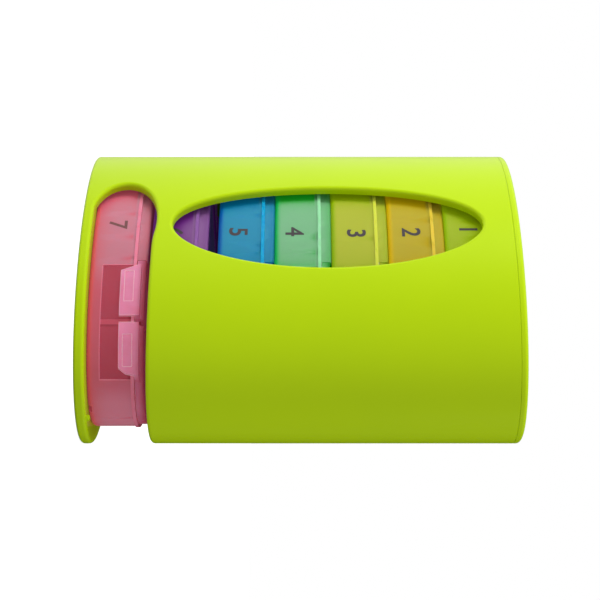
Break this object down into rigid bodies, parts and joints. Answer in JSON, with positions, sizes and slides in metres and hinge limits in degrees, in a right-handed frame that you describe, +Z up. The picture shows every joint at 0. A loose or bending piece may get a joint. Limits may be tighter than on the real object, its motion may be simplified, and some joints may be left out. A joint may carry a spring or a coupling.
{
  "type": "weekly pill organizer",
  "caption": "Oval tower that holds a stack of flat day boxes with lidded cells, with a long window in front, a slot at the base to push a box out, and a plug-in cap.",
  "frame": {"origin": "middle of the underside of the base, on the surface the tower stands on", "axes": "+Z up along the tower, -Y towards the front with the window, +X towards the side where the bottom box slides out"},
  "size_m": [0.121, 0.074, 0.15],
  "materials": {
    "case_plastic": "glossy opaque lime green",
    "lime_plastic": "translucent lime, frosted walls",
    "amber_plastic": "translucent amber, frosted walls",
    "yellow_green_plastic": "translucent yellow green, frosted walls",
    "green_plastic": "translucent green, frosted walls",
    "blue_plastic": "translucent blue, frosted walls",
    "purple_plastic": "translucent purple, frosted walls",
    "pink_plastic": "translucent pink, frosted walls"
  },
  "bodies": {
    "case": {"case": "case_plastic"},
    "cap": {"cap": "case_plastic"},
    "day1_box": {"day1_tray": "lime_plastic"},
    "day1_morning_lid": {"day1_lid_morning": "lime_plastic"},
    "day1_noon_lid": {"day1_lid_noon": "lime_plastic"},
    "day1_evening_lid": {"day1_lid_evening": "lime_plastic"},
    "day1_night_lid": {"day1_lid_night": "lime_plastic"},
    "day2_box": {"day2_tray": "amber_plastic"},
    "day2_morning_lid": {"day2_lid_morning": "amber_plastic"},
    "day2_noon_lid": {"day2_lid_noon": "amber_plastic"},
    "day2_evening_lid": {"day2_lid_evening": "amber_plastic"},
    "day2_night_lid": {"day2_lid_night": "amber_plastic"},
    "day3_box": {"day3_tray": "yellow_green_plastic"},
    "day3_morning_lid": {"day3_lid_morning": "yellow_green_plastic"},
    "day3_noon_lid": {"day3_lid_noon": "yellow_green_plastic"},
    "day3_evening_lid": {"day3_lid_evening": "yellow_green_plastic"},
    "day3_night_lid": {"day3_lid_night": "yellow_green_plastic"},
    "day4_box": {"day4_tray": "green_plastic"},
    "day4_morning_lid": {"day4_lid_morning": "green_plastic"},
    "day4_noon_lid": {"day4_lid_noon": "green_plastic"},
    "day4_evening_lid": {"day4_lid_evening": "green_plastic"},
    "day4_night_lid": {"day4_lid_night": "green_plastic"},
    "day5_box": {"day5_tray": "blue_plastic"},
    "day5_morning_lid": {"day5_lid_morning": "blue_plastic"},
    "day5_noon_lid": {"day5_lid_noon": "blue_plastic"},
    "day5_evening_lid": {"day5_lid_evening": "blue_plastic"},
    "day5_night_lid": {"day5_lid_night": "blue_plastic"},
    "day6_box": {"day6_tray": "purple_plastic"},
    "day6_morning_lid": {"day6_lid_morning": "purple_plastic"},
    "day6_noon_lid": {"day6_lid_noon": "purple_plastic"},
    "day6_evening_lid": {"day6_lid_evening": "purple_plastic"},
    "day6_night_lid": {"day6_lid_night": "purple_plastic"},
    "day7_box": {"day7_tray": "pink_plastic"},
    "day7_morning_lid": {"day7_lid_morning": "pink_plastic"},
    "day7_noon_lid": {"day7_lid_noon": "pink_plastic"},
    "day7_evening_lid": {"day7_lid_evening": "pink_plastic"},
    "day7_night_lid": {"day7_lid_night": "pink_plastic"}
  },
  "joints": [
    {"name": "cap_lift", "type": "slide", "parent": "case", "child": "cap", "axis": [0, 0, 1], "range_m": [0, 0.03]},
    {"name": "day1_slide", "type": "slide", "parent": "case", "child": "day1_box", "axis": [0, 0, 1], "range_m": [-0.0023, 0.0005]},
    {"name": "day1_morning_hinge", "type": "hinge", "parent": "day1_box", "child": "day1_morning_lid", "pos_m": [0, 0.0125, 0.14155], "axis": [-1, 0, 0], "range_deg": [0, 1.22]},
    {"name": "day1_noon_hinge", "type": "hinge", "parent": "day1_box", "child": "day1_noon_lid", "pos_m": [0, 0.0225, 0.14155], "axis": [-1, 0, 0], "range_deg": [0, 0.84]},
    {"name": "day1_evening_hinge", "type": "hinge", "parent": "day1_box", "child": "day1_evening_lid", "pos_m": [0, 0.0225, 0.14155], "axis": [-1, 0, 0], "range_deg": [0, 0.84]},
    {"name": "day1_night_hinge", "type": "hinge", "parent": "day1_box", "child": "day1_night_lid", "pos_m": [0, 0.0125, 0.14155], "axis": [-1, 0, 0], "range_deg": [0, 1.22]},
    {"name": "day2_slide", "type": "slide", "parent": "case", "child": "day2_box", "axis": [0, 0, 1], "range_m": [-0.0023, 0.0005]},
    {"name": "day2_morning_hinge", "type": "hinge", "parent": "day2_box", "child": "day2_morning_lid", "pos_m": [0, 0.0125, 0.1221], "axis": [-1, 0, 0], "range_deg": [0, 0.38]},
    {"name": "day2_noon_hinge", "type": "hinge", "parent": "day2_box", "child": "day2_noon_lid", "pos_m": [0, 0.0225, 0.1221], "axis": [-1, 0, 0], "range_deg": [0, 0.26]},
    {"name": "day2_evening_hinge", "type": "hinge", "parent": "day2_box", "child": "day2_evening_lid", "pos_m": [0, 0.0225, 0.1221], "axis": [-1, 0, 0], "range_deg": [0, 0.26]},
    {"name": "day2_night_hinge", "type": "hinge", "parent": "day2_box", "child": "day2_night_lid", "pos_m": [0, 0.0125, 0.1221], "axis": [-1, 0, 0], "range_deg": [0, 0.38]},
    {"name": "day3_slide", "type": "slide", "parent": "case", "child": "day3_box", "axis": [0, 0, 1], "range_m": [-0.0023, 0.0005]},
    {"name": "day3_morning_hinge", "type": "hinge", "parent": "day3_box", "child": "day3_morning_lid", "pos_m": [0, 0.0125, 0.10265], "axis": [-1, 0, 0], "range_deg": [0, 0.38]},
    {"name": "day3_noon_hinge", "type": "hinge", "parent": "day3_box", "child": "day3_noon_lid", "pos_m": [0, 0.0225, 0.10265], "axis": [-1, 0, 0], "range_deg": [0, 0.26]},
    {"name": "day3_evening_hinge", "type": "hinge", "parent": "day3_box", "child": "day3_evening_lid", "pos_m": [0, 0.0225, 0.10265], "axis": [-1, 0, 0], "range_deg": [0, 0.26]},
    {"name": "day3_night_hinge", "type": "hinge", "parent": "day3_box", "child": "day3_night_lid", "pos_m": [0, 0.0125, 0.10265], "axis": [-1, 0, 0], "range_deg": [0, 0.38]},
    {"name": "day4_slide", "type": "slide", "parent": "case", "child": "day4_box", "axis": [0, 0, 1], "range_m": [-0.0023, 0.0005]},
    {"name": "day4_morning_hinge", "type": "hinge", "parent": "day4_box", "child": "day4_morning_lid", "pos_m": [0, 0.0125, 0.0832], "axis": [-1, 0, 0], "range_deg": [0, 0.38]},
    {"name": "day4_noon_hinge", "type": "hinge", "parent": "day4_box", "child": "day4_noon_lid", "pos_m": [0, 0.0225, 0.0832], "axis": [-1, 0, 0], "range_deg": [0, 0.26]},
    {"name": "day4_evening_hinge", "type": "hinge", "parent": "day4_box", "child": "day4_evening_lid", "pos_m": [0, 0.0225, 0.0832], "axis": [-1, 0, 0], "range_deg": [0, 0.26]},
    {"name": "day4_night_hinge", "type": "hinge", "parent": "day4_box", "child": "day4_night_lid", "pos_m": [0, 0.0125, 0.0832], "axis": [-1, 0, 0], "range_deg": [0, 0.38]},
    {"name": "day5_slide", "type": "slide", "parent": "case", "child": "day5_box", "axis": [0, 0, 1], "range_m": [-0.0023, 0.0005]},
    {"name": "day5_morning_hinge", "type": "hinge", "parent": "day5_box", "child": "day5_morning_lid", "pos_m": [0, 0.0125, 0.06375], "axis": [-1, 0, 0], "range_deg": [0, 0.38]},
    {"name": "day5_noon_hinge", "type": "hinge", "parent": "day5_box", "child": "day5_noon_lid", "pos_m": [0, 0.0225, 0.06375], "axis": [-1, 0, 0], "range_deg": [0, 0.26]},
    {"name": "day5_evening_hinge", "type": "hinge", "parent": "day5_box", "child": "day5_evening_lid", "pos_m": [0, 0.0225, 0.06375], "axis": [-1, 0, 0], "range_deg": [0, 0.26]},
    {"name": "day5_night_hinge", "type": "hinge", "parent": "day5_box", "child": "day5_night_lid", "pos_m": [0, 0.0125, 0.06375], "axis": [-1, 0, 0], "range_deg": [0, 0.38]},
    {"name": "day6_slide", "type": "slide", "parent": "case", "child": "day6_box", "axis": [0, 0, 1], "range_m": [-0.0004, 0.0006]},
    {"name": "day6_morning_hinge", "type": "hinge", "parent": "day6_box", "child": "day6_morning_lid", "pos_m": [0, 0.0125, 0.041], "axis": [-1, 0, 0], "range_deg": [0, 3.36]},
    {"name": "day6_noon_hinge", "type": "hinge", "parent": "day6_box", "child": "day6_noon_lid", "pos_m": [0, 0.0225, 0.041], "axis": [-1, 0, 0], "range_deg": [0, 2.31]},
    {"name": "day6_evening_hinge", "type": "hinge", "parent": "day6_box", "child": "day6_evening_lid", "pos_m": [0, 0.0225, 0.041], "axis": [-1, 0, 0], "range_deg": [0, 2.31]},
    {"name": "day6_night_hinge", "type": "hinge", "parent": "day6_box", "child": "day6_night_lid", "pos_m": [0, 0.0125, 0.041], "axis": [-1, 0, 0], "range_deg": [0, 3.36]},
    {"name": "day7_slide", "type": "slide", "parent": "case", "child": "day7_box", "axis": [1, 0, 0], "range_m": [0, 0.125]},
    {"name": "day7_morning_hinge", "type": "hinge", "parent": "day7_box", "child": "day7_morning_lid", "pos_m": [-0.0008, 0.0125, 0.0208], "axis": [-1, 0, 0], "range_deg": [0, 1.45]},
    {"name": "day7_noon_hinge", "type": "hinge", "parent": "day7_box", "child": "day7_noon_lid", "pos_m": [-0.0008, 0.0225, 0.0208], "axis": [-1, 0, 0], "range_deg": [0, 1]},
    {"name": "day7_evening_hinge", "type": "hinge", "parent": "day7_box", "child": "day7_evening_lid", "pos_m": [-0.0008, 0.0225, 0.0208], "axis": [-1, 0, 0], "range_deg": [0, 1]},
    {"name": "day7_night_hinge", "type": "hinge", "parent": "day7_box", "child": "day7_night_lid", "pos_m": [-0.0008, 0.0125, 0.0208], "axis": [-1, 0, 0], "range_deg": [0, 1.45]}
  ],
  "couplings": [
    {"joint": "day4_slide", "follows": "day5_slide", "ratio": 1},
    {"joint": "day3_slide", "follows": "day5_slide", "ratio": 1},
    {"joint": "day2_slide", "follows": "day5_slide", "ratio": 1},
    {"joint": "day1_slide", "follows": "day5_slide", "ratio": 1}
  ]
}
